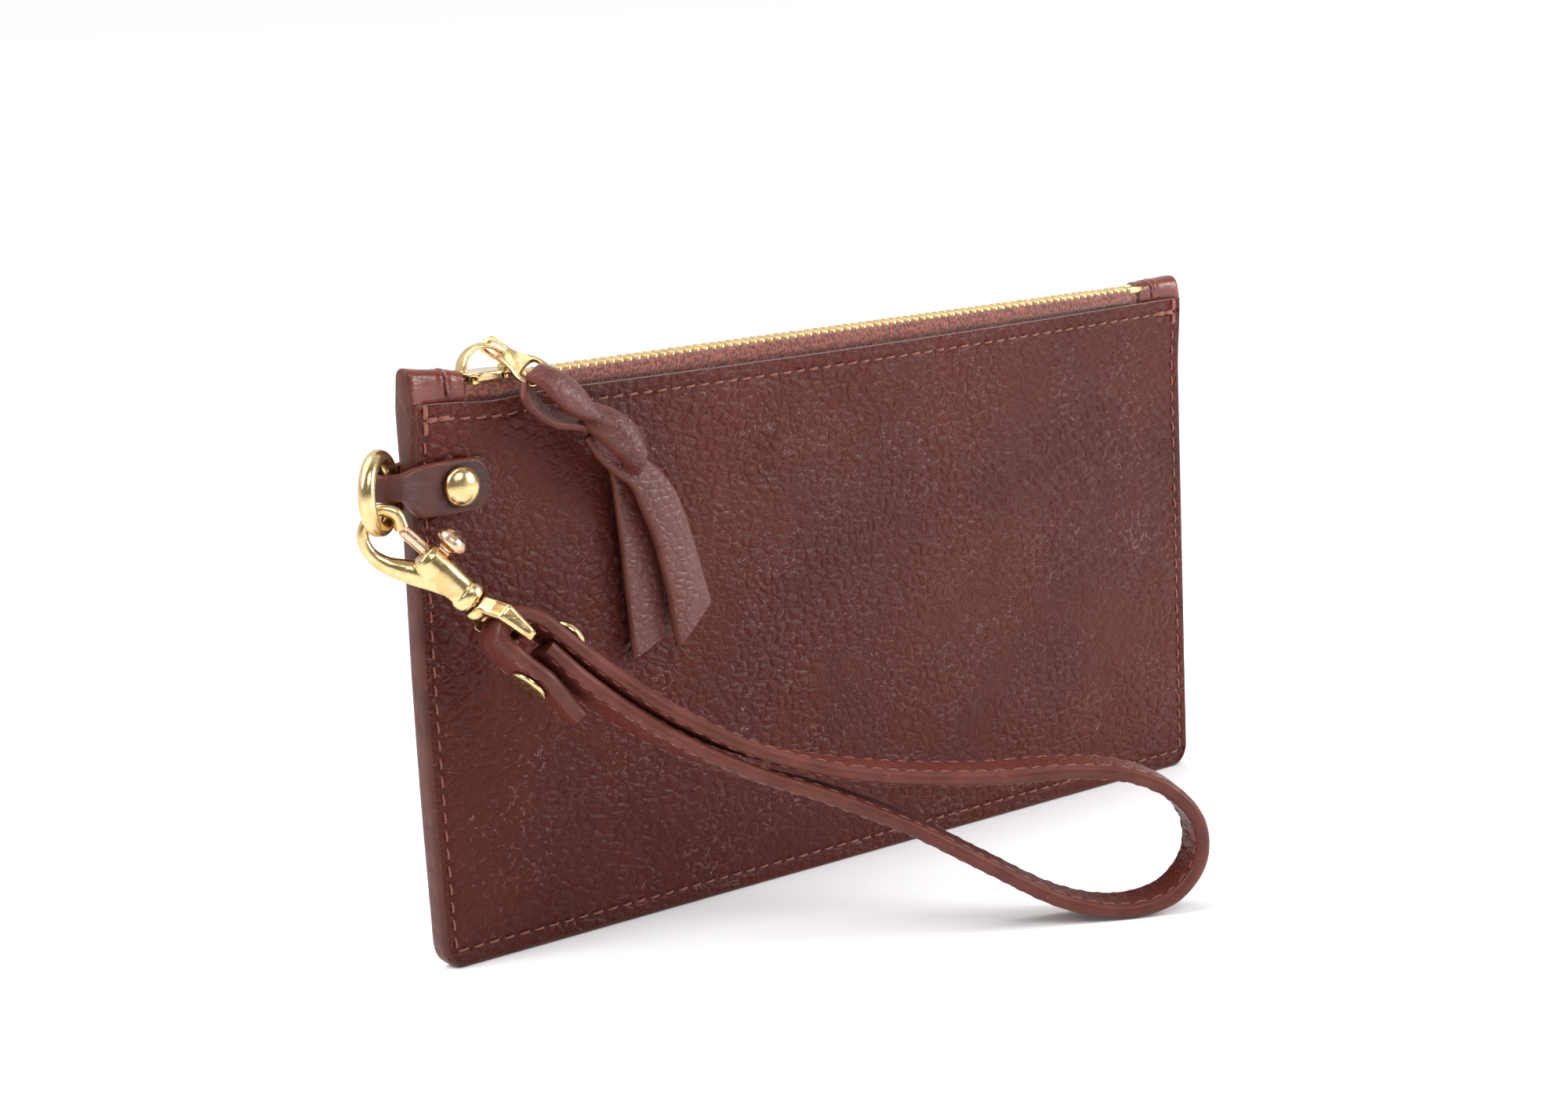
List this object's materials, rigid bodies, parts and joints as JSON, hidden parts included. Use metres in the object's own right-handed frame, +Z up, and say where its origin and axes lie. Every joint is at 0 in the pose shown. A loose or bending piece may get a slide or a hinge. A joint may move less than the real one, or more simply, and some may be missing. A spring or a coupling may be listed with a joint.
{
  "type": "zippered pouch",
  "caption": "Flat leather zip pouch with a knotted pull thong and a riveted hand strap on a swivel snap hook.",
  "frame": {"origin": "middle of the pouch's bottom edge, half way through its thickness", "axes": "+X along the pouch towards its right end as seen from the front, -Y out of the front panel, +Z up"},
  "size_m": [0.2619, 0.1058, 0.1395],
  "materials": {
    "leather": "pebbled, semi-gloss",
    "edge_leather": "smooth, edge painted",
    "tape": "twill weave",
    "brass": "polished",
    "spring_steel": "bright"
  },
  "bodies": {
    "pouch": {"front_panel": "leather", "back_panel": "leather", "seam_welt": "edge_leather", "left_end_tab": "edge_leather", "right_end_tab": "edge_leather", "zip_top_stop_front": "brass", "zip_top_stop_back": "brass", "zip_bottom_stop": "brass", "ring_tab": "leather", "tab_rivet_cap": "brass", "tab_rivet_post": "brass"},
    "mouth_front": {"zip_tape_front": "tape", "zip_teeth_front": "brass"},
    "mouth_back": {"zip_tape_back": "tape", "zip_teeth_back": "brass"},
    "slider": {"slider_body": "brass", "slider_crown": "brass"},
    "pull": {"pull_tab": "brass"},
    "thong": {"pull_thong": "leather"},
    "ring": {"ring": "brass"},
    "snap_hook": {"snap_hook_body": "brass", "swivel_stud": "brass", "snap_spring": "spring_steel"},
    "snap_bolt": {"snap_bolt": "brass"},
    "swivel_eye": {"swivel_eye": "brass"},
    "strap": {"strap_outer_ply": "leather", "strap_inner_ply": "leather", "strap_rivet_cap": "brass", "strap_rivet_post": "brass"}
  },
  "joints": [
    {"name": "slider_slide", "type": "slide", "parent": "pouch", "child": "slider", "axis": [1, 0, 0], "range_m": [0, 0.196]},
    {"name": "mouth_front_open", "type": "hinge", "parent": "pouch", "child": "mouth_front", "pos_m": [0, -0.0029, 0.127], "axis": [1, 0, 0], "range_deg": [0, 65], "deforming": ["zip_tape_front", "zip_teeth_front"]},
    {"name": "mouth_back_open", "type": "hinge", "parent": "pouch", "child": "mouth_back", "pos_m": [0, 0.0029, 0.127], "axis": [1, 0, 0], "range_deg": [-65, 0], "deforming": ["zip_tape_back", "zip_teeth_back"]},
    {"name": "pull_swing", "type": "hinge", "parent": "slider", "child": "pull", "pos_m": [-0.09667, 0, 0.13648], "axis": [-0.8, 0, -0.6], "range_deg": [0, 40]},
    {"name": "thong_swing", "type": "hinge", "parent": "pull", "child": "thong", "pos_m": [-0.09224, -0.00984, 0.13058], "axis": [-0.8, 0, -0.6], "range_deg": [0, 50]},
    {"name": "ring_swing", "type": "hinge", "parent": "pouch", "child": "ring", "pos_m": [-0.1261, 0, 0.1096], "axis": [0, 0, 1], "range_deg": [-75, 8]},
    {"name": "hook_swing", "type": "hinge", "parent": "ring", "child": "snap_hook", "pos_m": [-0.1322, -0.00455, 0.102], "axis": [-0.8, -0.6, 0], "range_deg": [-8, 28]},
    {"name": "bolt_slide", "type": "slide", "parent": "snap_hook", "child": "snap_bolt", "axis": [0.6046, -0.3421, -0.7193], "range_m": [0, 0.005], "stiffness_N_per_m": 300, "springref_m": -0.003, "deforming": ["snap_spring"]},
    {"name": "swivel_spin", "type": "hinge", "parent": "snap_hook", "child": "swivel_eye", "pos_m": [-0.11614, -0.01363, 0.08485], "axis": [0.6046, -0.3421, -0.7193], "range_deg": [-60, 60]},
    {"name": "strap_swing", "type": "hinge", "parent": "swivel_eye", "child": "strap", "pos_m": [-0.10889, -0.01774, 0.07622], "axis": [-0.1817, -0.9385, 0.2936], "range_deg": [-25, 40]}
  ],
  "couplings": [
    {"joint": "mouth_front_open", "follows": "slider_slide", "rad_per_m": 5.7},
    {"joint": "mouth_back_open", "follows": "slider_slide", "rad_per_m": -5.7}
  ]
}
